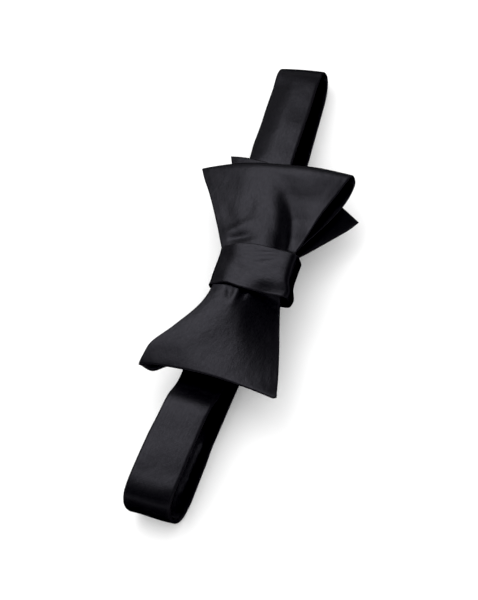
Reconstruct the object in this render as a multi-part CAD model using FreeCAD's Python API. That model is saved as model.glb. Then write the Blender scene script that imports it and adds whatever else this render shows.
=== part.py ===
import FreeCAD, Part
import math
import os
from FreeCAD import Vector

# A black satin bow tie lying on its back, with its neckband hooked shut and pressed into a long flat
# loop. Millimetres. +Z points out of the front of the bow, +X runs along the bow towards the folded
# wing of the front blade, and the origin is on the table under the middle of the knot.

# ---- driving sizes ----
loop_length = 239.0          # flattened neckband, from fold to fold
loop_height = 20.0           # from the table to the outside of the front run
band_bend_deg = 5.0          # each half of the band leaves the knot at this angle towards +Y

band_width = 22.0
band_thickness = 1.6         # satin tube over its interlining
band_edge_thickness = 0.6    # the sewn edge, where only satin is left
band_edge_width = 2.0
band_cavity = 0.8            # hollow of the tube, across its thickness
lining_clearance = 0.05      # between an interlining and the satin round it
seam_gap = 0.15              # between cloth pieces that only lie on each other

bow_length = 114.0           # tip to tip
bow_height = 70.0            # at the tips
wing_shoulder_x = 54.0       # where a wing reaches its full height
waist_height = 33.0          # of the back blade inside the knot
flat_end_overhang = 2.0      # how much further the back blade's flat end reaches
panel_thickness = 0.35       # one layer of satin
blade_interlining = 0.5
back_loop_gap = 2.4          # between the two layers of the back blade's loop, centre to centre
front_loop_gap = 2.8
blade_air = 1.0              # between the two blades

knot_width = 22.0            # along the bow
knot_satin = 0.6
knot_interlining = 0.6
knot_corner_radius = 3.5     # inside the wrap, on its front corners

ribbon_thickness = 0.7       # satin tube without interlining, where it goes round a metal bar
ribbon_width = 21.0
wire_radius = 0.6            # hook and eye
wire_clearance = 0.08        # round a wire inside its sewn loop
ring_corner_radius = 1.5
ring_side_clearance = 0.2    # from the ribbon's edge to where the ring's corner starts
bar_x = 13.0                 # strap bars of hook and eye, measured out from the middle
catch_x = 5.0                # the bars that meet, measured out from the middle
band_end_x = 18.0            # where the interlined band stops and the ribbon goes on
hook_fold_back = 12.0        # length of ribbon sewn back behind the hook

tongue_width = 8.0
tongue_thickness = 1.0
tongue_lift = 0.4            # over the eye's bar
tongue_reach = 1.2           # behind the eye's bar
tongue_bend_radius = 1.4
tongue_tip_z = 0.5

tail_end_x = 25.0            # end of the tail's fixed part
slide_bar_x = 33.0
slide_bar_radius = 0.5
slide_wall = 0.8
slide_side_clearance = 0.2
slide_plate_thickness = 1.0
slide_plate_start = 3.2      # from the bar to the plate
slide_length = 13.0
slide_lip_thickness = 0.4
slide_lip_gap = 0.05
slide_rib_width = 1.0
slide_rib_gap = 0.15
tail_fold_back = 7.0

thread = 0.3                 # height of a stitch over the cloth
stitch_width = 0.7

# ---- sizes that follow ----
half_band = band_thickness / 2
fold_radius = loop_height / 2 - half_band        # centre line of the band
fold_x = loop_length / 2 - loop_height / 2       # centre of a fold
run_front_z = loop_height - half_band
run_back_z = half_band
core_width = band_width - 2 * band_edge_width
bend = math.radians(band_bend_deg)
run_start_x = band_width / 2 * math.tan(bend) + seam_gap

blade_thickness = 2 * panel_thickness + blade_interlining + 2 * lining_clearance
half_blade = blade_thickness / 2
back_return_z = loop_height + seam_gap + half_blade
back_main_z = back_return_z + back_loop_gap
front_return_z = back_main_z + blade_thickness + blade_air
front_main_z = front_return_z + front_loop_gap

knot_inside_top = front_main_z + half_blade + seam_gap
knot_inside_bottom = loop_height - band_thickness - seam_gap
knot_inside_half = waist_height / 2 + 2 * seam_gap
knot_layers = knot_interlining + lining_clearance + knot_satin
corner_room = math.sqrt(knot_corner_radius ** 2 - (knot_corner_radius - seam_gap) ** 2)
front_waist_height = 2 * (knot_inside_half - knot_corner_radius + corner_room - seam_gap)

ribbon_loop_radius = wire_radius + wire_clearance + ribbon_thickness / 2
bar_z = ribbon_thickness / 2 + ribbon_loop_radius
ring_half_width = ribbon_width / 2 + ring_side_clearance + ring_corner_radius   # centre of the wire
ribbon_back_z = bar_z + ribbon_loop_radius
slide_loop_radius = slide_bar_radius + wire_clearance + ribbon_thickness / 2
slide_bar_z = ribbon_back_z + slide_loop_radius
slide_top_z = slide_bar_z + slide_bar_radius
ribbon_top_z = slide_bar_z + slide_loop_radius

Y_AXIS = Vector(0, 1, 0)
Z_AXIS = Vector(0, 0, 1)
ORIGIN = Vector(0, 0, 0)


def xz(x, z):
    return Vector(x, 0, z)


def closed_face(edges):
    return Part.Face(Part.Wire([e.toShape() for e in edges]))


def across(face, width):
    """Thicken an XZ outline into a solid of this width, centred on Y."""
    solid = face.extrude(Vector(0, width, 0))
    solid.translate(Vector(0, -width / 2, 0))
    return solid


def box(x0, x1, y0, y1, z0, z1):
    return Part.makeBox(x1 - x0, y1 - y0, z1 - z0, Vector(x0, y0, z0))


def folded(x_main, x_return, x_turn, z_main, z_return, inner, outer):
    """Outline of a strip that runs out to x_turn, turns round and comes back. inner and outer are
    the distances of its two faces from the strip's centre line, positive on the outside of the turn."""
    side = 1 if z_main > z_return else -1
    middle = (z_main + z_return) / 2
    radius = abs(z_main - z_return) / 2
    main_out, main_in = z_main + side * outer, z_main + side * inner
    back_out, back_in = z_return - side * outer, z_return - side * inner
    return closed_face([
        Part.LineSegment(xz(x_main, main_out), xz(x_turn, main_out)),
        Part.Arc(xz(x_turn, main_out), xz(x_turn + radius + outer, middle), xz(x_turn, back_out)),
        Part.LineSegment(xz(x_turn, back_out), xz(x_return, back_out)),
        Part.LineSegment(xz(x_return, back_out), xz(x_return, back_in)),
        Part.LineSegment(xz(x_return, back_in), xz(x_turn, back_in)),
        Part.Arc(xz(x_turn, back_in), xz(x_turn + radius + inner, middle), xz(x_turn, main_in)),
        Part.LineSegment(xz(x_turn, main_in), xz(x_main, main_in)),
        Part.LineSegment(xz(x_main, main_in), xz(x_main, main_out))])


def satin_tube(outline):
    """Satin of a stretch of band: thick over the interlining, thin at its sewn edges, hollow inside.
    outline(inner, outer) gives the stretch's XZ outline between two distances from its centre line."""
    core = across(outline(-half_band, half_band), core_width)
    edges = across(outline(-band_edge_thickness / 2, band_edge_thickness / 2), band_width)
    hollow = across(outline(-band_cavity / 2, band_cavity / 2), core_width - band_edge_width)
    return core.fuse(edges).removeSplitter().cut(hollow)


def band_lining(outline):
    half = band_cavity / 2 - lining_clearance
    width = core_width - band_edge_width - 2 * lining_clearance
    return across(outline(-half, half), width)


def on_half(shape, side):
    """Place a shape built along +X on the hook half (+1) or the eye half (-1) of the band."""
    shape.rotate(ORIGIN, Z_AXIS, band_bend_deg if side > 0 else 180 - band_bend_deg)
    return shape


# ---- the bow ----
def wing_outline(tip_x, waist):
    """Half of a blade's cut-out, from the middle to a tip at tip_x, as a prism through all layers.
    waist is half the blade's height inside the knot."""
    neck = knot_width / 2
    tip = bow_height / 2
    side = 1 if tip_x > 0 else -1
    shoulder = side * wing_shoulder_x
    lead = side * (neck + 0.45 * (wing_shoulder_x - neck))
    rise = waist + 0.35 * (tip - waist)
    flare = Part.BSplineCurve()
    flare.buildFromPoles([Vector(side * neck, waist, 0), Vector(lead, rise, 0), Vector(shoulder, tip, 0)],
                         False, 2)
    edges = [Part.LineSegment(Vector(0, waist, 0), Vector(side * neck, waist, 0)), flare,
             Part.LineSegment(Vector(shoulder, tip, 0), Vector(tip_x, tip, 0)),
             Part.LineSegment(Vector(tip_x, tip, 0), Vector(tip_x, 0, 0)),
             Part.LineSegment(Vector(tip_x, 0, 0), Vector(0, 0, 0)),
             Part.LineSegment(Vector(0, 0, 0), Vector(0, waist, 0))]
    half = closed_face(edges).extrude(Vector(0, 0, 2 * loop_height))
    other = half.mirror(ORIGIN, Y_AXIS)
    return half.fuse(other).removeSplitter()


def blade(z_main, z_return, flat_end_x, waist, turned):
    """One blade of the bow: a flat end on one wing and a folded loop on the other. Returns its outer
    panel, its interlining and its inner panel. It is built with the loop at +X, then turned over."""
    turn_x = bow_length / 2 - abs(z_main - z_return) / 2 - half_blade
    return_x = -knot_width / 2 + seam_gap
    cut = wing_outline(bow_length / 2, waist / 2).fuse(wing_outline(-flat_end_x, waist / 2)).removeSplitter()
    panel_in = blade_interlining / 2 + lining_clearance
    spans = [(panel_in, half_blade), (-blade_interlining / 2, blade_interlining / 2), (-half_blade, -panel_in)]
    layers = []
    for inner, outer in spans:
        strip = across(folded(-flat_end_x, return_x, turn_x, z_main, z_return, inner, outer), bow_height)
        layer = strip.common(cut)
        if turned:
            layer.rotate(ORIGIN, Z_AXIS, 180)
        layers.append(layer)
    return layers


# ---- the knot ----
def knot_ring(inside, thickness):
    """A closed band round the waist, in the YZ plane, its inner face this far outside the contents."""
    def rounded(grow):
        y = knot_inside_half + grow
        low = knot_inside_bottom - grow
        high = knot_inside_top + grow
        bar = box(-knot_width / 2, knot_width / 2, -y, y, low, high)
        corners = [e for e in bar.Edges if abs(e.tangentAt(e.FirstParameter).x) > 0.99 and
                   e.CenterOfMass.z > (low + high) / 2]
        return bar.makeFillet(knot_corner_radius + grow, corners)
    return rounded(inside + thickness).cut(rounded(inside))


def knot_stitches():
    """The ladder of stitches that closes the wrap behind the knot."""
    low = knot_inside_bottom - knot_layers
    count = 9
    pitch = knot_width / count
    rungs = []
    for i in range(count):
        x = -knot_width / 2 + (i + 0.5) * pitch
        rungs.append(box(x - stitch_width / 2, x + stitch_width / 2, -1.5, 1.5, low - thread, low))
    return Part.makeCompound(rungs)


def tack_stitches(side):
    """Stitches that hold the edge of the knot to the underside of the front run, on one side."""
    under = loop_height - band_thickness
    rungs = []
    for y in (-6.0, -3.0, 0.0, 3.0, 6.0):
        x = knot_width / 2 + 1.2
        rungs.append(box(x, x + 2.4, y - stitch_width / 2, y + stitch_width / 2, under - thread, under))
    return on_half(Part.makeCompound(rungs), side)


# ---- the neckband ----
def end_loop(fold_back):
    """Ribbon at the end of a half: out of the band, round a strap bar and back along the band. Built
    along -X, so the turn points to the middle."""
    half = ribbon_thickness / 2
    loop = across(folded(-band_end_x, -bar_x - fold_back, -bar_x, half, ribbon_back_z, -half, half), ribbon_width)
    loop.rotate(ORIGIN, Z_AXIS, 180)
    return loop


def hook_half():
    """Band from the knot, over the fold and back to the hook, with the ribbon loop at its end."""
    def outline(inner, outer):
        return folded(run_start_x, band_end_x, fold_x, run_front_z, run_back_z, inner, outer)
    satin = satin_tube(outline).fuse(end_loop(hook_fold_back)).removeSplitter()
    return on_half(satin, 1), on_half(band_lining(outline), 1)


def eye_half_outline(front):
    """Outline of the front or the back stretch of the eye half. They part at the fold's outermost
    line, where the band bends when the loop is opened."""
    middle = loop_height / 2
    parting = seam_gap

    def outline(inner, outer):
        side = 1 if front else -1
        z_out = middle + side * (fold_radius + outer)
        z_in = middle + side * (fold_radius + inner)
        start = run_start_x if front else band_end_x
        r_out, r_in = fold_radius + outer, fold_radius + inner
        slant = math.sqrt(0.5)
        end_out = xz(fold_x + math.sqrt(r_out ** 2 - parting ** 2), middle + side * parting)
        end_in = xz(fold_x + math.sqrt(r_in ** 2 - parting ** 2), middle + side * parting)
        via_out = xz(fold_x + slant * r_out, middle + side * slant * r_out)
        via_in = xz(fold_x + slant * r_in, middle + side * slant * r_in)
        return closed_face([
            Part.LineSegment(xz(start, z_out), xz(fold_x, z_out)),
            Part.Arc(xz(fold_x, z_out), via_out, end_out),
            Part.LineSegment(end_out, end_in),
            Part.Arc(end_in, via_in, xz(fold_x, z_in)),
            Part.LineSegment(xz(fold_x, z_in), xz(start, z_in)),
            Part.LineSegment(xz(start, z_in), xz(start, z_out))])
    return outline


def overcast(x, z_low, z_high, x_reach):
    """A row of stitches over the cut end of a ribbon at x, from the cloth below it to its top face."""
    count = 9
    pitch = ribbon_width / count
    rungs = []
    for i in range(count):
        y = -ribbon_width / 2 + (i + 0.5) * pitch
        y0, y1 = y - stitch_width / 2, y + stitch_width / 2
        post = box(min(x, x + math.copysign(thread, -x_reach)), max(x, x + math.copysign(thread, -x_reach)),
                   y0, y1, z_low, z_high + thread)
        top = box(min(x, x + x_reach), max(x, x + x_reach), y0, y1, z_high, z_high + thread)
        rungs.append(post.fuse(top).removeSplitter())
    return Part.makeCompound(rungs)


# ---- the metal pieces ----
def wire_ring():
    """Rectangle of round wire from the strap bar to the catch bar, built along +X."""
    w, c = ring_half_width, ring_corner_radius
    k = c * (1 - math.sqrt(0.5))
    p = lambda x, y: Vector(x, y, bar_z)
    path = Part.Wire([e.toShape() for e in [
        Part.LineSegment(p(bar_x, 0), p(bar_x, w - c)),
        Part.Arc(p(bar_x, w - c), p(bar_x - k, w - k), p(bar_x - c, w)),
        Part.LineSegment(p(bar_x - c, w), p(catch_x + c, w)),
        Part.Arc(p(catch_x + c, w), p(catch_x + k, w - k), p(catch_x, w - c)),
        Part.LineSegment(p(catch_x, w - c), p(catch_x, c - w)),
        Part.Arc(p(catch_x, c - w), p(catch_x + k, k - w), p(catch_x + c, -w)),
        Part.LineSegment(p(catch_x + c, -w), p(bar_x - c, -w)),
        Part.Arc(p(bar_x - c, -w), p(bar_x - k, k - w), p(bar_x, c - w)),
        Part.LineSegment(p(bar_x, c - w), p(bar_x, 0))]])
    section = Part.Wire([Part.Circle(p(bar_x, 0), Y_AXIS, wire_radius).toShape()])
    return path.makePipeShell([section], True, False)


def hook_piece():
    """Wire ring with a flat tongue that passes over the eye's bar and turns down behind it."""
    under = bar_z + wire_radius + tongue_lift
    top = under + tongue_thickness
    inside = -catch_x - wire_radius - tongue_reach
    outside = inside - tongue_thickness
    b = tongue_bend_radius
    k = b * (1 - math.sqrt(0.5))
    root_in, root_out = catch_x - wire_radius, catch_x + wire_radius
    profile = closed_face([
        Part.LineSegment(xz(root_out, bar_z), xz(root_out, top)),
        Part.LineSegment(xz(root_out, top), xz(outside + b, top)),
        Part.Arc(xz(outside + b, top), xz(outside + k, top - k), xz(outside, top - b)),
        Part.LineSegment(xz(outside, top - b), xz(outside, tongue_tip_z)),
        Part.LineSegment(xz(outside, tongue_tip_z), xz(inside, tongue_tip_z)),
        Part.LineSegment(xz(inside, tongue_tip_z), xz(inside, under)),
        Part.LineSegment(xz(inside, under), xz(root_in, under)),
        Part.LineSegment(xz(root_in, under), xz(root_in, bar_z)),
        Part.LineSegment(xz(root_in, bar_z), xz(root_out, bar_z))])
    return on_half(wire_ring().fuse(across(profile, tongue_width)).removeSplitter(), 1)


def slide_piece():
    """Sheet-metal slide: side walls and turned-in lips hold the band's thin edges, a ribbed plate
    presses on it, and the round bar carries the end of the tail."""
    wall_in = band_width / 2 + slide_side_clearance
    wall_out = wall_in + slide_wall
    lip_top = run_back_z - band_edge_thickness / 2 - slide_lip_gap
    lip_low = lip_top - slide_lip_thickness
    lip_in = core_width / 2 + slide_side_clearance
    x0 = slide_bar_x - slide_bar_radius - 0.5
    x1 = x0 + slide_length
    plate_x = slide_bar_x + slide_plate_start
    plate_low = slide_top_z - slide_plate_thickness
    body = box(plate_x, x1, -wall_out, wall_out, plate_low, slide_top_z)
    for side in (-1, 1):
        y0, y1 = sorted((side * wall_in, side * wall_out))
        l0, l1 = sorted((side * lip_in, side * wall_out))
        body = body.fuse(box(x0, x1, y0, y1, lip_low, slide_top_z))
        body = body.fuse(box(x0, x1, l0, l1, lip_low, lip_top))
    for x in (plate_x, x1 - slide_rib_width):
        body = body.fuse(box(x, x + slide_rib_width, -wall_in, wall_in, band_thickness + slide_rib_gap, plate_low))
    bar = Part.makeCylinder(slide_bar_radius, 2 * wall_out, Vector(slide_bar_x, -wall_out, slide_bar_z), Y_AXIS)
    return on_half(body.fuse(bar).removeSplitter(), -1)


def tail_end():
    """The tail's free end: under the slide's bar, round it and back, sewn down."""
    half = ribbon_thickness / 2
    x_join = tail_end_x + seam_gap
    x_back = slide_bar_x - tail_fold_back
    return on_half(across(folded(x_join, x_back, slide_bar_x, ribbon_back_z, ribbon_top_z, -half, half),
                          ribbon_width), -1)


# ---- everything, node by node ----
front_outer, front_core, front_inner = blade(front_main_z, front_return_z, bow_length / 2,
                                             front_waist_height, False)
back_outer, back_core, back_inner = blade(back_main_z, back_return_z, bow_length / 2 + flat_end_overhang,
                                          waist_height, True)
hook_satin, hook_lining = hook_half()
eye_front = eye_half_outline(True)
eye_back = eye_half_outline(False)

nodes = {
    "front_blade_outer_panel": front_outer,
    "front_blade_interlining": front_core,
    "front_blade_inner_panel": front_inner,
    "back_blade_outer_panel": back_outer,
    "back_blade_interlining": back_core,
    "back_blade_inner_panel": back_inner,
    "knot_wrap_satin": knot_ring(knot_interlining + lining_clearance, knot_satin),
    "knot_wrap_interlining": knot_ring(0, knot_interlining),
    "knot_closing_stitches": knot_stitches(),
    "bow_tack_stitches": Part.makeCompound([tack_stitches(1), tack_stitches(-1)]),
    "hook_band_satin": hook_satin,
    "hook_band_interlining": hook_lining,
    "eye_band_front_satin": on_half(satin_tube(eye_front), -1),
    "eye_band_front_interlining": on_half(band_lining(eye_front), -1),
    "eye_band_back_satin": on_half(satin_tube(eye_back), -1),
    "eye_band_back_interlining": on_half(band_lining(eye_back), -1),
    "adjuster_tail": on_half(end_loop(tail_end_x - bar_x), -1),
    "tail_end_loop": tail_end(),
    "hook": hook_piece(),
    "eye": on_half(wire_ring(), -1),
    "slide_adjuster": slide_piece(),
    "hook_end_stitches": on_half(overcast(bar_x + hook_fold_back, band_thickness,
                                          ribbon_back_z + ribbon_thickness / 2, -1.8), 1),
    "tail_end_stitches": on_half(overcast(slide_bar_x - tail_fold_back, ribbon_back_z + ribbon_thickness / 2,
                                          ribbon_top_z + ribbon_thickness / 2, 1.8), -1),
}

os.makedirs("parts", exist_ok=True)
for name, shape in nodes.items():
    if not shape.isValid() or shape.Volume <= 0:
        raise ValueError(name + " is not a sound solid")
    shape.exportStep("parts/" + name + ".step")
    b = shape.BoundBox
    print("%-28s %d solids %8.1f mm3  x %.1f..%.1f y %.1f..%.1f z %.2f..%.2f" % (
        name, len(shape.Solids), shape.Volume, b.XMin, b.XMax, b.YMin, b.YMax, b.ZMin, b.ZMax))
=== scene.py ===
import math
import bpy
import numpy as np
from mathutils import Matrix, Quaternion, Vector, noise


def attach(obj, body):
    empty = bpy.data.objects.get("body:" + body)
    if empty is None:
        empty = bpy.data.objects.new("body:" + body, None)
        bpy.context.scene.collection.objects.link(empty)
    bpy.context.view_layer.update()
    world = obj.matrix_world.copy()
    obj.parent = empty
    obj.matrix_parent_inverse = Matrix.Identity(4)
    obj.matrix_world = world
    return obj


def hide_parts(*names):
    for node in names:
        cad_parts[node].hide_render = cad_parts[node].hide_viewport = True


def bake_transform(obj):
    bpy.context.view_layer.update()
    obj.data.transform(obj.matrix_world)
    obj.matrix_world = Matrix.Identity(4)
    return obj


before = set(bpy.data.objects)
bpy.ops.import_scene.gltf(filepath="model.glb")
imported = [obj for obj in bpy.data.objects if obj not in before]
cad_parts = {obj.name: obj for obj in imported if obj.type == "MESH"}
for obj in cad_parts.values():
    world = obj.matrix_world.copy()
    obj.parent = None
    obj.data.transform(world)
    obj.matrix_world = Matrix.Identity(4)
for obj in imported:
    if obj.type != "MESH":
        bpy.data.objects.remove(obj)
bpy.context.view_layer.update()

# ---- camera ----
# Stands over the lower end of the bow tie and looks down along it, turned so that the neckband
# runs up the picture and leans to the right.
aim = Vector((-0.0037, 0.0067, 0.0))
azimuth, elevation, roll = math.radians(-52.4), math.radians(60.7), math.radians(-22.7)
camera_distance = 0.909
back = Vector((math.sin(azimuth) * math.cos(elevation), -math.cos(azimuth) * math.cos(elevation),
               math.sin(elevation)))
camera = bpy.data.objects.new("camera", bpy.data.cameras.new("camera"))
camera.data.lens = 115.8
camera.data.sensor_width = 36.0
camera.location = aim + camera_distance * back
camera.rotation_mode = "QUATERNION"
camera.rotation_quaternion = back.to_track_quat("Z", "Y") @ Quaternion((0, 0, 1), roll)
bpy.context.scene.collection.objects.link(camera)
bpy.context.scene.camera = camera

# ---- table and lights ----
# A plain pale table top in an evenly lit room. One large soft box hangs high beyond the bow tie, as
# seen from the camera, and towards its left. Besides that box the satin mirrors only a dim glow low on
# the walls, so it keeps its dark side.


def new_finish(name, values):
    """A material with these values on the sockets of its shader. Gives the shader, nodes and links too."""
    made = bpy.data.materials.new(name)
    made.use_nodes = True
    face = made.node_tree.nodes["Principled BSDF"]
    for socket, value in values.items():
        face.inputs[socket].default_value = value
    return made, face, made.node_tree.nodes, made.node_tree.links


table_reach, table_height = 3, -0.0003
table_corners = [(x * table_reach, y * table_reach, table_height)
                 for x, y in ((-1, -1), (1, -1), (1, 1), (-1, 1))]
table_mesh = bpy.data.meshes.new("table_top")
table_mesh.from_pydata(table_corners, [], [(0, 1, 2, 3)])
table_top = bpy.data.objects.new("table_top", table_mesh)
bpy.context.scene.collection.objects.link(table_top)
pale_table = new_finish("pale_table", {"Base Color": (0.93, 0.93, 0.93, 1), "Roughness": 0.9,
                                       "Specular IOR Level": 0.0})[0]
table_mesh.materials.append(pale_table)
table_top.visible_glossy = False

soft_box_direction, soft_box_distance = Vector((0.40, 0.37, 0.84)).normalized(), 1.3
soft_box = bpy.data.lights.new("soft_box", "AREA")
soft_box.size, soft_box.energy = 0.85, 4.1
soft_box_stand = bpy.data.objects.new("soft_box", soft_box)
soft_box_stand.location = soft_box_direction * soft_box_distance
soft_box_stand.rotation_mode = "QUATERNION"
soft_box_stand.rotation_quaternion = soft_box_stand.location.to_track_quat("Z", "Y")
bpy.context.scene.collection.objects.link(soft_box_stand)

room = bpy.data.worlds.new("room")
room.use_nodes = True
nodes, links = room.node_tree.nodes, room.node_tree.links
room_brightness = 1.3
glow_starts, glow_ends = 0.02, 0.46
facing = nodes.new("ShaderNodeTexCoord")
height = nodes.new("ShaderNodeSeparateXYZ")
links.new(facing.outputs["Generated"], height.inputs[0])
glow = nodes.new("ShaderNodeValToRGB")
bottom, top = glow.color_ramp.elements
bottom.position, bottom.color = glow_starts, (0, 0, 0, 1)
top.position, top.color = glow_ends, (0, 0, 0, 1)
for position, value in ((0.10, 0.45), (0.24, 0.16)):
    glow.color_ramp.elements.new(position).color = (value, value, value, 1)
links.new(height.outputs["Z"], glow.inputs["Fac"])
ray = nodes.new("ShaderNodeLightPath")
seen = nodes.new("ShaderNodeMix")
seen.data_type = "RGBA"
seen.inputs[6].default_value = (room_brightness, room_brightness, room_brightness, 1)
links.new(ray.outputs["Is Glossy Ray"], seen.inputs[0])
links.new(glow.outputs["Color"], seen.inputs[7])
links.new(seen.outputs[2], nodes["Background"].inputs["Color"])
bpy.context.scene.world = room
look = bpy.context.scene.view_settings
look.view_transform = "Standard"
look.use_curve_mapping = True
look.curve_mapping.black_level = (0.0045, 0.0045, 0.0045)
look.curve_mapping.update()

# ---- hook half of the neckband ----
# A satin tube with an interlining, pressed flat, 22 mm wide. It starts inside the knot, runs out to
# the fold and comes back underneath. Its end is a bare ribbon, looped round the hook's bar and sewn.
MM = 0.001
band_half_width, band_thickness = 11, 1.6
ribbon_half_width, ribbon_thickness = 10.5, 0.7
band_columns = 25
bend = math.radians(5.0)
toward_hook = np.array([[math.cos(bend), math.sin(bend)], [-math.sin(bend), math.cos(bend)]])
toward_eye = np.array([[-math.cos(bend), math.sin(bend)], [math.sin(bend), math.cos(bend)]])


def ramp(value, start, end):
    """0 up to the start, 1 from the end on, and even in between."""
    return np.clip((value - start) / (end - start), 0, 1)


def eased(share):
    """The same share from 0 to 1, with a soft start and a soft end."""
    return share * share * (3 - 2 * share)


def bell(value, middle, spread):
    """1 at the middle, fading softly away on both sides."""
    return np.exp(-((value - middle) / spread) ** 2)


def travelled(line):
    """How far along a line each of its points lies."""
    return np.concatenate([[0], np.cumsum(np.linalg.norm(np.diff(line, axis=0), axis=1))])


def smooth_run(stations, steps=24):
    """A smooth line, or a smooth fan of lines, through given stations."""
    rows = np.asarray(stations, float)
    rows = np.concatenate([2 * rows[:1] - rows[1:2], rows, 2 * rows[-1:] - rows[-2:-1]])
    line = []
    for a, b, c, d in zip(rows, rows[1:], rows[2:], rows[3:]):
        for k in np.arange(steps) / steps:
            line.append(b + 0.5 * k * (c - a + k * (2 * a - 5 * b + 4 * c - d + k * (3 * (b - c) + d - a))))
    return np.array(line + [rows[-2]])


def respaced(run, pitch):
    """The same run with its rows a pitch apart, and closer together at its two ends."""
    middle = run.reshape(len(run), -1, run.shape[-1])
    along = travelled(middle[:, middle.shape[1] // 2])
    ends, even_from = np.array([0, 0.06, 0.2, 0.42, 0.75, 1.2]), 2
    even_rows = int((along[-1] - 2 * even_from) / pitch) + 2
    places = np.concatenate([ends, np.linspace(even_from, along[-1] - even_from, even_rows),
                             along[-1] - ends[::-1]])
    flat = run.reshape(len(run), -1)
    return np.stack([np.interp(places, along, column) for column in flat.T], 1).reshape(-1, *run.shape[1:])


def across(columns):
    """Places across a strip, from -1 to 1, closer together towards its two edges."""
    return np.sin(np.linspace(-math.pi / 2, math.pi / 2, columns))


def outward_of(middle):
    """The direction square to the cloth at each point of a grid."""
    outward = np.cross(np.gradient(middle, axis=1), np.gradient(middle, axis=0))
    return outward / np.linalg.norm(outward, axis=2, keepdims=True)


def cloth(name, middle, thickness, rim, seam=4.0):
    """A closed cloth piece of this thickness, in mm, on both sides of a grid of points, with
    rounded edges. It keeps how far along and across the cloth each point lies, and how near an edge."""
    seam_height, seam_spread, worn_reach, thinnest = 0.03, 0.9, 1.6, 0.12
    rows, columns = middle.shape[:2]
    thickness = np.broadcast_to(np.asarray(thickness, float).reshape(-1, 1), (rows, columns))
    outward = outward_of(middle)
    along = np.cumsum(np.pad(np.linalg.norm(np.diff(middle, axis=0), axis=2), ((1, 0), (0, 0))), axis=0)
    width = np.cumsum(np.pad(np.linalg.norm(np.diff(middle, axis=1), axis=2), ((0, 0), (1, 0))), axis=1)
    side_gap = np.minimum(width, width[:, -1:] - width)
    edge_gap = np.minimum(side_gap, np.minimum(along, along[-1:] - along))
    roundness = np.sqrt(1 - (1 - np.clip(edge_gap / rim, 0, 1)) ** 2).clip(thinnest)
    ridge = seam_height * bell(side_gap, seam, seam_spread)
    half = (thickness / 2 * roundness + ridge * (edge_gap > rim))[..., None]
    points = np.concatenate([(middle + outward * half).reshape(-1, 3),
                             (middle - outward * half).reshape(-1, 3)])
    top = np.arange(rows * columns).reshape(rows, columns)
    under = top + rows * columns
    quads = [np.stack([top[:-1, :-1], top[:-1, 1:], top[1:, 1:], top[1:, :-1]], -1).reshape(-1, 4),
             np.stack([under[:-1, :-1], under[1:, :-1], under[1:, 1:], under[:-1, 1:]], -1).reshape(-1, 4)]
    loop = np.concatenate([top[0, :], top[1:, -1], top[-1, -2::-1], top[-2:0:-1, 0]])
    after = np.roll(loop, -1)
    quads.append(np.stack([after, loop, loop + rows * columns, after + rows * columns], -1))
    mesh = bpy.data.meshes.new(name)
    mesh.from_pydata((points * MM).tolist(), [], np.concatenate(quads).tolist())
    mesh.shade_smooth()
    lay = np.stack([along, width - width[:, -1:] / 2, np.zeros_like(along)], -1).reshape(-1, 3)
    lay_store = mesh.attributes.new("lay", "FLOAT_VECTOR", "POINT")
    lay_store.data.foreach_set("vector", np.tile(lay, (2, 1)).ravel())
    near_edge = bell(edge_gap, 0, worn_reach).ravel()
    mesh.attributes.new("edge", "FLOAT", "POINT").data.foreach_set("value", np.tile(near_edge, 2))
    piece = bpy.data.objects.new(name, mesh)
    bpy.context.scene.collection.objects.link(piece)
    return piece


def crumple(middle, depth, size, shift=0.0):
    """Press soft dents into a grid of points, along its own outward direction."""
    dents = [noise.noise(Vector(p / size) + Vector((shift, 0, 0))) for p in middle.reshape(-1, 3)]
    depth = np.reshape(depth, (-1, 1, 1))
    return middle + outward_of(middle) * depth * np.array(dents).reshape(*middle.shape[:2], 1)


def band_strip(line, half_widths, half, sideways):
    """Lay a strip along a side view of (out from the knot, height) points, on one half of the band.
    Its upper run is a little crowned."""
    t = across(band_columns)
    out, height = line[:, :1], line[:, 1:2]
    side = t[None, :] * np.asarray(half_widths).reshape(-1, 1) + np.asarray(sideways).reshape(-1, 1)
    flat = out[..., None] * half[0] + side[..., None] * half[1]
    crown = 0.35 * (1 - t ** 2)[None, :] * (height > 10)
    return np.concatenate([flat, (height + crown)[..., None]], -1)


def noisy(nodes, links, place, detail):
    """Soft uneven patches over a place on the piece."""
    patches = nodes.new("ShaderNodeTexNoise")
    patches.inputs["Scale"].default_value = 1.0
    patches.inputs["Detail"].default_value = detail
    links.new(place, patches.inputs["Vector"])
    return patches.outputs["Fac"]


def two_tone(nodes, links, share, one, other):
    """A mix of two colours by a share from 0 to 1."""
    tone = nodes.new("ShaderNodeMix")
    tone.data_type = "RGBA"
    tone.inputs[6].default_value = (*one, 1)
    tone.inputs[7].default_value = (*other, 1)
    links.new(share, tone.inputs[0])
    return tone


def raised(nodes, links, height, strength, distance, below=None):
    """Surface relief by a height, on top of the relief below it."""
    relief = nodes.new("ShaderNodeBump")
    relief.inputs["Strength"].default_value = strength
    relief.inputs["Distance"].default_value = distance
    links.new(height, relief.inputs["Height"])
    if below is not None:
        links.new(below, relief.inputs["Normal"])
    return relief.outputs["Normal"]


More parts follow.
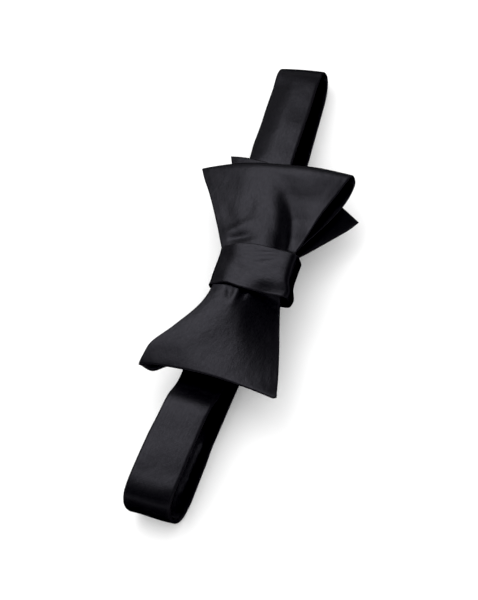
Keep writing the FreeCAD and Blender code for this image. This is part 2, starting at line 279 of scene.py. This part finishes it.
def satin(name, colour, rough, thread_pitch):
    """Woven satin: fine threads, long faint slubs along the cloth, small mottles in its shine, soft
    blotches and paler pressed edges."""
    made, cloth_face, nodes, links = new_finish(name, {"Specular IOR Level": 0.5,
                                                       "Specular Tint": (0.87, 0.85, 1.0, 1)})
    lay = nodes.new("ShaderNodeAttribute")
    lay.attribute_name = "lay"
    edge = nodes.new("ShaderNodeAttribute")
    edge.attribute_name = "edge"

    def stretched(scale):
        spread = nodes.new("ShaderNodeMapping")
        spread.inputs["Scale"].default_value = scale
        links.new(lay.outputs["Vector"], spread.inputs["Vector"])
        return spread.outputs["Vector"]

    def thread_ribs(direction, pitch, wander):
        ribs = nodes.new("ShaderNodeTexWave")
        ribs.bands_direction = direction
        ribs.inputs["Scale"].default_value = 0.314 / pitch
        ribs.inputs["Distortion"].default_value = wander
        links.new(lay.outputs["Vector"], ribs.inputs["Vector"])
        return ribs.outputs["Fac"]

    slub = noisy(nodes, links, stretched((0.05, 1.6, 1)), detail=4.0)
    blotch = noisy(nodes, links, stretched((0.11, 0.15, 1)), detail=3.0)
    mottle = noisy(nodes, links, stretched((0.5, 1.1, 1)), detail=3.0)
    warp = thread_ribs("Y", thread_pitch, wander=0.6)
    weft = thread_ribs("X", 2.6 * thread_pitch, wander=1.2)

    dark, light, pale = ([c * share for c in colour] for share in (0.75, 1.35, 2.4))
    shade = two_tone(nodes, links, blotch, dark, light)
    worn_much = nodes.new("ShaderNodeMath")
    worn_much.operation = "MULTIPLY"
    worn_much.inputs[1].default_value = 0.55
    links.new(edge.outputs["Fac"], worn_much.inputs[0])
    worn = two_tone(nodes, links, worn_much.outputs[0], colour, pale)
    links.new(shade.outputs[2], worn.inputs[6])
    links.new(worn.outputs[2], cloth_face.inputs["Base Color"])

    uneven = nodes.new("ShaderNodeMix")
    uneven.data_type = "FLOAT"
    uneven.inputs[0].default_value = 0.65
    links.new(slub, uneven.inputs[2])
    links.new(mottle, uneven.inputs[3])
    dull = nodes.new("ShaderNodeMapRange")
    dull.inputs["From Min"].default_value = 0.3
    dull.inputs["From Max"].default_value = 0.7
    dull.inputs["To Min"].default_value = rough - 0.06
    dull.inputs["To Max"].default_value = rough + 0.08
    links.new(uneven.outputs[0], dull.inputs["Value"])
    links.new(dull.outputs["Result"], cloth_face.inputs["Roughness"])

    threads = nodes.new("ShaderNodeMath")
    threads.operation = "MULTIPLY_ADD"
    threads.inputs[1].default_value = 0.35
    links.new(weft, threads.inputs[0])
    links.new(warp, threads.inputs[2])
    fine = raised(nodes, links, threads.outputs[0], strength=0.25, distance=0.00003)
    thick_thread = raised(nodes, links, slub, strength=0.2, distance=0.00008, below=fine)
    pebbled = raised(nodes, links, mottle, strength=0.5, distance=0.00006, below=thick_thread)
    soft = raised(nodes, links, blotch, strength=0.4, distance=0.0006, below=pebbled)
    links.new(soft, cloth_face.inputs["Normal"])
    return made


band_satin = satin("band_satin", (0.0025, 0.0024, 0.0028), rough=0.36, thread_pitch=0.30)
hook_line = respaced(smooth_run([
    (2, 19.2), (30, 19.2), (52, 19.6), (66, 19.6), (80, 18.6), (94, 17.1), (107, 15.2), (114.5, 13.3),
    (119, 10.2), (119.6, 6.2), (116, 2.6), (110, 1.1), (100, 0.8), (60, 0.8), (26, 0.8), (19.5, 0.75),
    (17, 0.42), (13, 0.36), (12.25, 0.66), (11.97, 1.38), (12.25, 2.1), (13, 2.41), (16, 2.45),
    (25, 2.45)]), pitch=1.1)

# The upper run widens a little towards the fold, leans sideways past the bow and back again, and
# one edge of it sags where nothing holds it up. The end of the run underneath is the bare ribbon.
out, height = hook_line.T
along = travelled(hook_line)
to_ribbon = eased(ramp(along, along[-1] - 23, along[-1] - 19))
upper_run = eased(ramp(height, 2, 15))
wider = 0.4 * upper_run * ramp(out, 60, 72)
narrower = (band_half_width - ribbon_half_width) * to_ribbon
leaning = upper_run * (1.2 * bell(out, 62, 22) + 0.9 * ramp(out, 50, 62))
leaning_back = (1.6 - 0.9 * upper_run) * ramp(out, 70, 110)
strip = band_strip(hook_line, band_half_width + wider - narrower, toward_hook, leaning - leaning_back)
droop = ramp(across(band_columns), -0.05, 1)[None, :] ** 1.5 * ramp(height, 8, 12)[:, None]
unsupported = np.minimum(ramp(out, 56, 68), ramp(out, 119, 107))[:, None]
strip[..., 2] -= 3.4 * droop * unsupported
strip = crumple(strip, np.where(height > 3, 0.55, 0.12 * (1 - to_ribbon)), size=17)
thickness = band_thickness - (band_thickness - ribbon_thickness) * to_ribbon
hook_band = cloth("hook_band", strip, thickness, rim=1.1)
hook_band.data.materials.append(band_satin)
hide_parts("hook_band_satin", "hook_band_interlining")
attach(hook_band, "bow")

# ---- eye half of the neckband ----
# The same satin tube on the other side, folded round into a flattened loop.
eye_line = respaced(smooth_run([
    (2, 19.2), (30, 19.0), (47, 18.2), (55, 17.2), (60.5, 18.4), (67.5, 21.9), (76, 22.9), (90, 22.7),
    (102, 22.5), (111, 21.7), (116.4, 19), (119.2, 12.6), (118.4, 6.2), (114, 2.4), (108, 1.1),
    (100, 0.8), (60, 0.8), (17.6, 0.8)]), pitch=1.1)

# The fold lies a little askew, and a lengthwise crease is pressed into the run underneath.
out, height = eye_line.T
upper_run = eased(ramp(height, 2, 15))
wider = 0.4 * ramp(out, 77, 87)
leaning = 0.5 * upper_run * ramp(out, 70, 88) - 0.9 * (1 - upper_run) * ramp(out, 80, 105)
strip = band_strip(eye_line, band_half_width + wider, toward_eye, leaning)
askew = 0.075 * band_half_width * across(band_columns)[None, :] * ramp(out, 95, 119)[:, None]
strip[..., :2] += askew[..., None] * toward_eye[0]
back_run = (height < 3) * np.minimum(ramp(out, 77, 81), ramp(out, 107, 103))
crease = bell(strip[..., 0] * bend + strip[..., 1], -7.3, 0.8) * back_run[:, None]
strip[..., 2] += 1.1 * crease
strip = crumple(strip, np.where(height > 3, 0.6, 0.12), size=17, shift=5.0)
eye_band = cloth("eye_band", strip, band_thickness, rim=1.1)
eye_band.data.materials.append(band_satin)
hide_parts("eye_band_front_satin", "eye_band_front_interlining", "eye_band_back_satin",
            "eye_band_back_interlining")
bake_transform(eye_band)

# ---- adjuster tail ----
# Satin ribbon without interlining. It goes round the eye's bar, lies back on the band, passes under
# the slide's bar and is sewn down on itself.
tail_line = respaced(smooth_run([
    (20, 0.8), (17, 0.42), (13, 0.36), (12.25, 0.66), (11.97, 1.38), (12.25, 2.1), (13, 2.41), (17, 2.45),
    (22, 2.45), (28, 2.45), (32.6, 2.42), (33.6, 2.76), (33.95, 3.36), (33.6, 3.98), (32.6, 4.28),
    (29, 4.27), (26, 4.27)]), pitch=0.7)
strip = band_strip(tail_line, np.full(len(tail_line), ribbon_half_width), toward_eye, 0.0)
adjuster_tail = cloth("adjuster_tail_ribbon", strip, 0.66, rim=0.5, seam=2.0)
adjuster_tail.data.materials.append(band_satin)
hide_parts("adjuster_tail", "tail_end_loop")
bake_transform(adjuster_tail)

# ---- back blade ----
# The lower layer of the bow: satin on both faces of an interlining. Its flat end lies under the far
# wing, askew, and its loop is folded under the near wing. Stations are left edge, middle, right edge.
bow_satin = satin("bow_satin", (0.0027, 0.0026, 0.0030), rough=0.35, thread_pitch=0.28)
blade_columns = 61


def blade(stations, pitch=1.2):
    """Fan of cross lines through stations of (left, middle, right) points, each a gentle curve."""
    run = respaced(smooth_run(stations), pitch)
    t = across(blade_columns)[None, :, None]
    left, mid, right = (run[:, k:k + 1] for k in range(3))
    return left * t * (t + 1) / 2 + mid * (1 - t * t) + right * t * (t - 1) / 2


back_blade_middle = blade([
    [(61.4, 27.8, 17.8), (56.2, -5.5, 21.8), (42.4, -40.8, 10.5)],
    [(54, 24.6, 18.6), (46, -4.5, 21.9), (36.2, -37.6, 12.5)],
    [(40, 20.5, 20), (32, -3.5, 22), (27.4, -31.6, 15.8)],
    [(22, 16.5, 21.6), (20, -2.8, 22.6), (18, -24.8, 19)],
    [(12, 14.2, 22.2), (12, -2.8, 23), (11.5, -20.6, 21)],
    [(0, 13.2, 22.4), (0, -3, 23), (0, -20, 24)],
    [(-12, 13.2, 22.2), (-12, -3, 22.8), (-12, -19, 18.6)],
    [(-22, 16.2, 21.6), (-24, -2, 23), (-23, -21.8, 17.4)],
    [(-34, 23.8, 20.4), (-34, 0, 23.6), (-33.6, -25, 17.8)],
    [(-43, 31, 19.2), (-44, 1, 24), (-46.6, -28.4, 19)],
    [(-51, 36, 18.6), (-49, 1, 23.8), (-52.4, -30.2, 19.6)],
    [(-52.6, 36.6, 17.7), (-50.6, 1, 22.6), (-54, -30.6, 18.6)],
    [(-51, 35.8, 17), (-49.2, 1, 21.6), (-52.6, -30.2, 17.4)],
    [(-43, 31, 17.4), (-43, 1, 21.2), (-46, -27.8, 16.8)],
    [(-30, 22, 19.2), (-32, 0, 21), (-32, -24, 16.2)],
    [(-14, 14.2, 20.8), (-14, -2.4, 21.2), (-14, -19.2, 17.4)],
    [(-3, 13.2, 20.8), (-3, -3, 21.2), (-3, -18.8, 20.8)]])

# The folded loop bulges out a little beside one corner.
x, y = back_blade_middle[..., 0], back_blade_middle[..., 1]
x -= 3.2 * bell(y, 29, 5) * ramp(x, 0, -50) ** 6
back_blade = cloth("back_blade", crumple(back_blade_middle, 0.5, size=19, shift=2.0), 1.2, rim=0.8)
back_blade.data.materials.append(bow_satin)
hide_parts("back_blade_outer_panel", "back_blade_interlining", "back_blade_inner_panel")
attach(back_blade, "bow")

# ---- front blade ----
# The upper layer of the bow, cut like the back one and turned the other way: its loop stands open on
# the far wing and its flat end, with one corner curling down, lies on the near wing.
front_blade_middle = blade([
    [(-54.9, 34.3, 24.2), (-54.8, 1.5, 26.8), (-58.8, -33.2, 25.6)],
    [(-51.2, 33.5, 25.2), (-50.8, 1.2, 27.1), (-53.8, -32.2, 24.8)],
    [(-44, 31.2, 26.4), (-44, 1, 27.4), (-45.2, -29.9, 24.0)],
    [(-34.8, 23.6, 27), (-35, -0.5, 27.7), (-33.6, -26.4, 23.2)],
    [(-24, 16.2, 27), (-24, -2.2, 28), (-22.6, -22.8, 22.6)],
    [(-15, 12.8, 26.8), (-15, -2.8, 28.4), (-14, -20.4, 22.4)],
    [(-6, 12.4, 26.2), (-6, -3, 28.6), (-6, -20.4, 27.2)],
    [(5, 12.6, 26.2), (5, -3, 28.6), (5, -20.2, 27.8)],
    [(14, 16.7, 25.2), (14, -2.2, 28.6), (14, -20.8, 27)],
    [(23.2, 21.8, 24.5), (24, -0.6, 28.3), (24, -24.2, 27.4)],
    [(35.8, 29.2, 23), (36, 1.4, 28), (36, -27.8, 27.2)],
    [(45, 35.4, 21.2), (47, 2, 28.2), (47, -32.2, 27.6)],
    [(49.8, 38.2, 20.4), (54.6, 2, 28), (56.2, -35.6, 28)],
    [(50.6, 38.8, 19.9), (56.8, 2, 25.8), (57.6, -36.6, 24)],
    [(50, 38.2, 19.4), (55.2, 2, 23.8), (55, -36.4, 20.4)],
    [(44, 34.4, 19.8), (46, 2, 23.2), (46, -34.4, 19.6)],
    [(34, 27.8, 21), (34, 1, 23.6), (34, -29.4, 20.2)],
    [(22, 20.8, 22.6), (22, -1, 24.6), (22, -23.8, 22.4)],
    [(13, 15.6, 24), (13, -2.6, 25.4), (13, -20, 24.2)],
    [(2, 13.2, 24.2), (2, -3, 25.4), (2, -18.8, 24.2)]])


def press_dents(middle, x, y, where, dents):
    """Press soft oval dents down into a grid: centre x and y, angle, half length and width, depth."""
    for at_x, at_y, angle, long, wide, deep in dents:
        c, d = math.cos(math.radians(angle)), math.sin(math.radians(angle))
        lengthwise, crosswise = (x - at_x) * c + (y - at_y) * d, (y - at_y) * c - (x - at_x) * d
        middle[..., 2] -= where * deep * bell(lengthwise, 0, long) * bell(crosswise, 0, wide)


# The sharp corner of the flat end is rounded off. A valley runs from the knot out into the far wing,
# the near wing steps down beyond its brow, and small dents gather beside the knot.
x, y = front_blade_middle[..., 0], front_blade_middle[..., 1]
x += 1.2 * ramp(np.abs(across(blade_columns)), 0.94, 1) ** 2 * ramp(x, -55, -58)
fold_row = np.argmax(x[:, blade_columns // 2])
on_top = ramp(np.arange(len(x)), fold_row, fold_row - 5)[:, None]
valley = np.interp(x, [11, 15, 22, 31, 41, 52], [-16.6, -16.6, -16.2, -14.2, -9.5, -4])
sinking = on_top * np.interp(x, [10.5, 13, 20, 30, 40, 52], [0, 3.0, 3.8, 3.4, 2.0, 0])
slope = np.interp(x, [12, 50], [3.6, 6.5]) * np.where(y > valley, 1, 1.8)
front_blade_middle[..., 2] -= sinking * bell(y, valley, slope)
brow = np.interp(x, [-48, -34, -24, -15], [-14, -12, -9.5, -7])
stepping_down = np.interp(x, [-56, -45, -30, -20, -10, -8], [0.2, 1.2, 2.8, 3.8, 2.8, 0])
front_blade_middle[..., 2] -= on_top * stepping_down * 0.5 * (1 + np.tanh((brow - y) / 7))
press_dents(front_blade_middle, x, y, on_top, (
    (15.5, 4.5, -70, 4.5, 2.4, 0.8), (14, 9, -65, 3, 2, 0.5), (20, 8.5, -55, 9, 2.4, -0.5),
    (32.5, 6.7, 10, 5, 2.4, 0.6), (17, -5, 20, 7, 4, -0.5), (24, 14, 40, 9, 3, 0.3),
    (-13, 2.6, 10, 3.5, 2, 0.7), (-12, -4, -20, 3.5, 1.8, 0.7), (-14, -0.8, -5, 6, 1.6, -0.4),
    (44, 20, 60, 9, 5, 0.4), (42, -18, 80, 10, 5, 0.4)))
front_blade = cloth("front_blade", crumple(front_blade_middle, 0.6, size=21, shift=9.0), 1.2, rim=0.8)
front_blade.data.materials.append(bow_satin)
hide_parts("front_blade_outer_panel", "front_blade_interlining", "front_blade_inner_panel")
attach(front_blade, "bow")

# ---- knot ----
# A strip of the same satin over an interlining, its long edges turned under, wrapped tightly once
# round the bow's waist and sewn shut behind. It is drawn up in a few soft folds.
knot_satin = satin("knot_satin", (0.0025, 0.0024, 0.0028), rough=0.33, thread_pitch=0.28)
centre_of_knot = np.array([0, -4.6, 23.9])
knot_half_width = 11
knot_half_length, knot_half_height = 18.3, 6.4
turn = np.radians(np.linspace(-97, 272, 400))
boxiness = 0.61 + 0.25 * np.cos(turn)


def fuller(wave):
    """Swell a sine wave, so that the ring round the waist gets fuller shoulders."""
    return np.sign(wave) * np.abs(wave) ** boxiness


outline = respaced(centre_of_knot + np.stack([
    np.zeros_like(turn), -knot_half_length * fuller(np.sin(turn - math.pi / 2)),
    knot_half_height * fuller(np.sin(turn))], 1), pitch=0.8)

# The long edges flare a little and swell or draw in along the way, soft folds lie on top, one corner
# bulges out, and the strip's last stretch lies over its beginning.
t = across(41)[None, :]
y = outline[:, 1:2]
flare = 1 + 0.02 * np.abs(t) ** 6
ring = centre_of_knot + (outline - centre_of_knot)[:, None, :] * flare[..., None]
far_edge, near_edge = np.clip(t, 0, None), np.clip(-t, 0, None)
ring[..., 0] = (knot_half_width * t + far_edge * (bell(y, -2, 9) - 1.8 * ramp(y, 6, 15))
                + near_edge * 1.4 * bell(y, 6, 6))
facing_up = ramp(outline[:, 2:3], 26, 29)
press_dents(ring, ring[..., 0], y, facing_up, (
    (8.2, -7, 100, 8, 0.5, 0.14), (6.4, -9, 104, 7, 0.6, 0.16), (4.2, -10, 110, 6, 0.8, 0.18),
    (-2, 3, 75, 10, 3, 0.2), (-11.5, -15, 75, 9, 5, 2.2)))
ring[..., 2] -= facing_up * 0.06 * (y - centre_of_knot[1])
lump = bell(y, -21, 5) * bell(t, -0.7, 0.35)
ring[..., 1] -= 2.0 * lump
ring[..., 2] -= 0.5 * lump
overlap = eased(ramp(np.linspace(0, 1, len(outline)), 0.88, 0.925))[:, None]
ring[..., 2] -= 1.4 * overlap
knot_wrap = cloth("knot_wrap", crumple(ring, 0.4, size=9, shift=4.0), 1.3, rim=0.6, seam=2.2)
knot_wrap.data.materials.append(knot_satin)
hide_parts("knot_wrap_satin", "knot_wrap_interlining")
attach(knot_wrap, "bow")

# ---- stitches ----
# Black polyester thread, sewn by hand: whip stitches close the knot behind, tacks hold the knot to
# the neckband, and the cut ends of both ribbons are oversewn.
thread, thread_face, nodes, links = new_finish("sewing_thread", {"Roughness": 0.55,
                                                                 "Specular IOR Level": 0.4})
lay = nodes.new("ShaderNodeAttribute")
lay.attribute_name = "lay"
ply = nodes.new("ShaderNodeTexWave")
ply.bands_direction = "DIAGONAL"
ply.inputs["Scale"].default_value = 1.3
links.new(lay.outputs["Vector"], ply.inputs["Vector"])
# Painted shade: the grooves between the plies are coloured darker than their crests, along the same twist
# as the relief.
ply_painted_shade = two_tone(nodes, links, ply.outputs["Fac"], (0.004, 0.004, 0.005), (0.014, 0.013, 0.017))
links.new(ply_painted_shade.outputs[2], thread_face.inputs["Base Color"])
ply_relief = raised(nodes, links, ply.outputs["Fac"], strength=0.6, distance=0.00006)
links.new(ply_relief, thread_face.inputs["Normal"])


def sewn(name, body, node, stitches, thickness=0.34):
    """Short stitches, each an arch from its first point over its second to its third, as one piece."""
    points, faces, lay = [], [], []
    around, steps = 8, 9
    for first, over, last in stitches:
        k = np.linspace(0, 1, steps)[:, None]
        arch = (1 - k) ** 2 * np.array(first) + 2 * k * (1 - k) * np.array(over) + k ** 2 * np.array(last)
        ahead = np.gradient(arch, axis=0)
        ahead /= np.linalg.norm(ahead, axis=1, keepdims=True)
        side = np.cross(ahead, (0.31, 0.17, 0.93))
        side /= np.linalg.norm(side, axis=1, keepdims=True)
        upper = np.cross(side, ahead)
        size = thickness / 2 * np.sqrt(1 - (2 * k - 1) ** 4 * 0.9)
        start = len(points)
        for i in range(steps):
            for j in range(around):
                angle = 2 * math.pi * j / around
                points.append(arch[i] + size[i] * (side[i] * math.cos(angle) + upper[i] * math.sin(angle)))
                lay.append((3.0 * i / steps, 3.0 * j / around, 0))
        for i in range(steps - 1):
            for j in range(around):
                a, b = start + i * around + j, start + i * around + (j + 1) % around
                faces.append((a, b, b + around, a + around))
        faces.append(tuple(start + j for j in range(around))[::-1])
        faces.append(tuple(start + (steps - 1) * around + j for j in range(around)))
    mesh = bpy.data.meshes.new(name)
    mesh.from_pydata((np.array(points) * MM).tolist(), [], faces)
    mesh.shade_smooth()
    mesh.attributes.new("lay", "FLOAT_VECTOR", "POINT").data.foreach_set("vector", np.array(lay).ravel())
    mesh.materials.append(thread)
    piece = bpy.data.objects.new(name, mesh)
    bpy.context.scene.collection.objects.link(piece)
    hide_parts(node)
    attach(piece, body)


def on_half(half, out, side, height):
    """A point so far out from the knot and so far sideways on one half of the band."""
    return (*(np.array([out, side]) @ half), height)


sewn("knot_whip_stitches", "bow", "knot_closing_stitches",
     [((x - 0.5, -0.3, 16.9), (x, -0.9, 15.0), (x + 0.5, -2.9, 15.4)) for x in np.linspace(-9, 9, 9)])
sewn("knot_tacks", "bow", "bow_tack_stitches",
     [(on_half(half, 11.2, y, 17.6), on_half(half, 12.6, y + 0.3, 17.2), on_half(half, 14.8, y, 18.45))
      for half in (toward_hook, toward_eye) for y in (-6, -3, 0, 3, 6)])
sewn("hook_ribbon_oversewing", "bow", "hook_end_stitches",
     [(on_half(toward_hook, 23.9, y, 2.75), on_half(toward_hook, 25.2, y + 0.4, 3.5),
       on_half(toward_hook, 26.3, y + 0.8, 1.6)) for y in np.linspace(-9.4, 8.6, 9)])
sewn("tail_oversewing", "slide_adjuster", "tail_end_stitches",
     [(on_half(toward_eye, 27.2, y, 4.5), on_half(toward_eye, 25.8, y + 0.4, 5.4),
       on_half(toward_eye, 24.8, y + 0.8, 2.75)) for y in np.linspace(-9.4, 8.6, 9)])

# ---- hook, eye and slide ----
# Formed from wire and sheet metal and nickel plated to a satin finish, with fine rubbing marks where
# they slide on each other. They keep the shapes that they have in model.glb.
nickel, nickel_face, nodes, links = new_finish("nickel", {"Metallic": 0.75})
place = nodes.new("ShaderNodeTexCoord")
rubbed = nodes.new("ShaderNodeMapping")
rubbed.inputs["Scale"].default_value = (300, 2200, 2200)
links.new(place.outputs["Object"], rubbed.inputs["Vector"])
marks = noisy(nodes, links, rubbed.outputs["Vector"], detail=5.0)
plating = two_tone(nodes, links, marks, (0.44, 0.42, 0.39), (0.66, 0.64, 0.60))
links.new(plating.outputs[2], nickel_face.inputs["Base Color"])
polish = nodes.new("ShaderNodeMapRange")
polish.inputs["To Min"].default_value = 0.18
polish.inputs["To Max"].default_value = 0.42
links.new(marks, polish.inputs["Value"])
links.new(polish.outputs["Result"], nickel_face.inputs["Roughness"])
scratches = raised(nodes, links, marks, strength=0.15, distance=0.00002)
links.new(scratches, nickel_face.inputs["Normal"])
for metal_piece in ("hook", "eye", "slide_adjuster"):
    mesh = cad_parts[metal_piece].data
    mesh.materials.clear()
    mesh.materials.append(nickel)
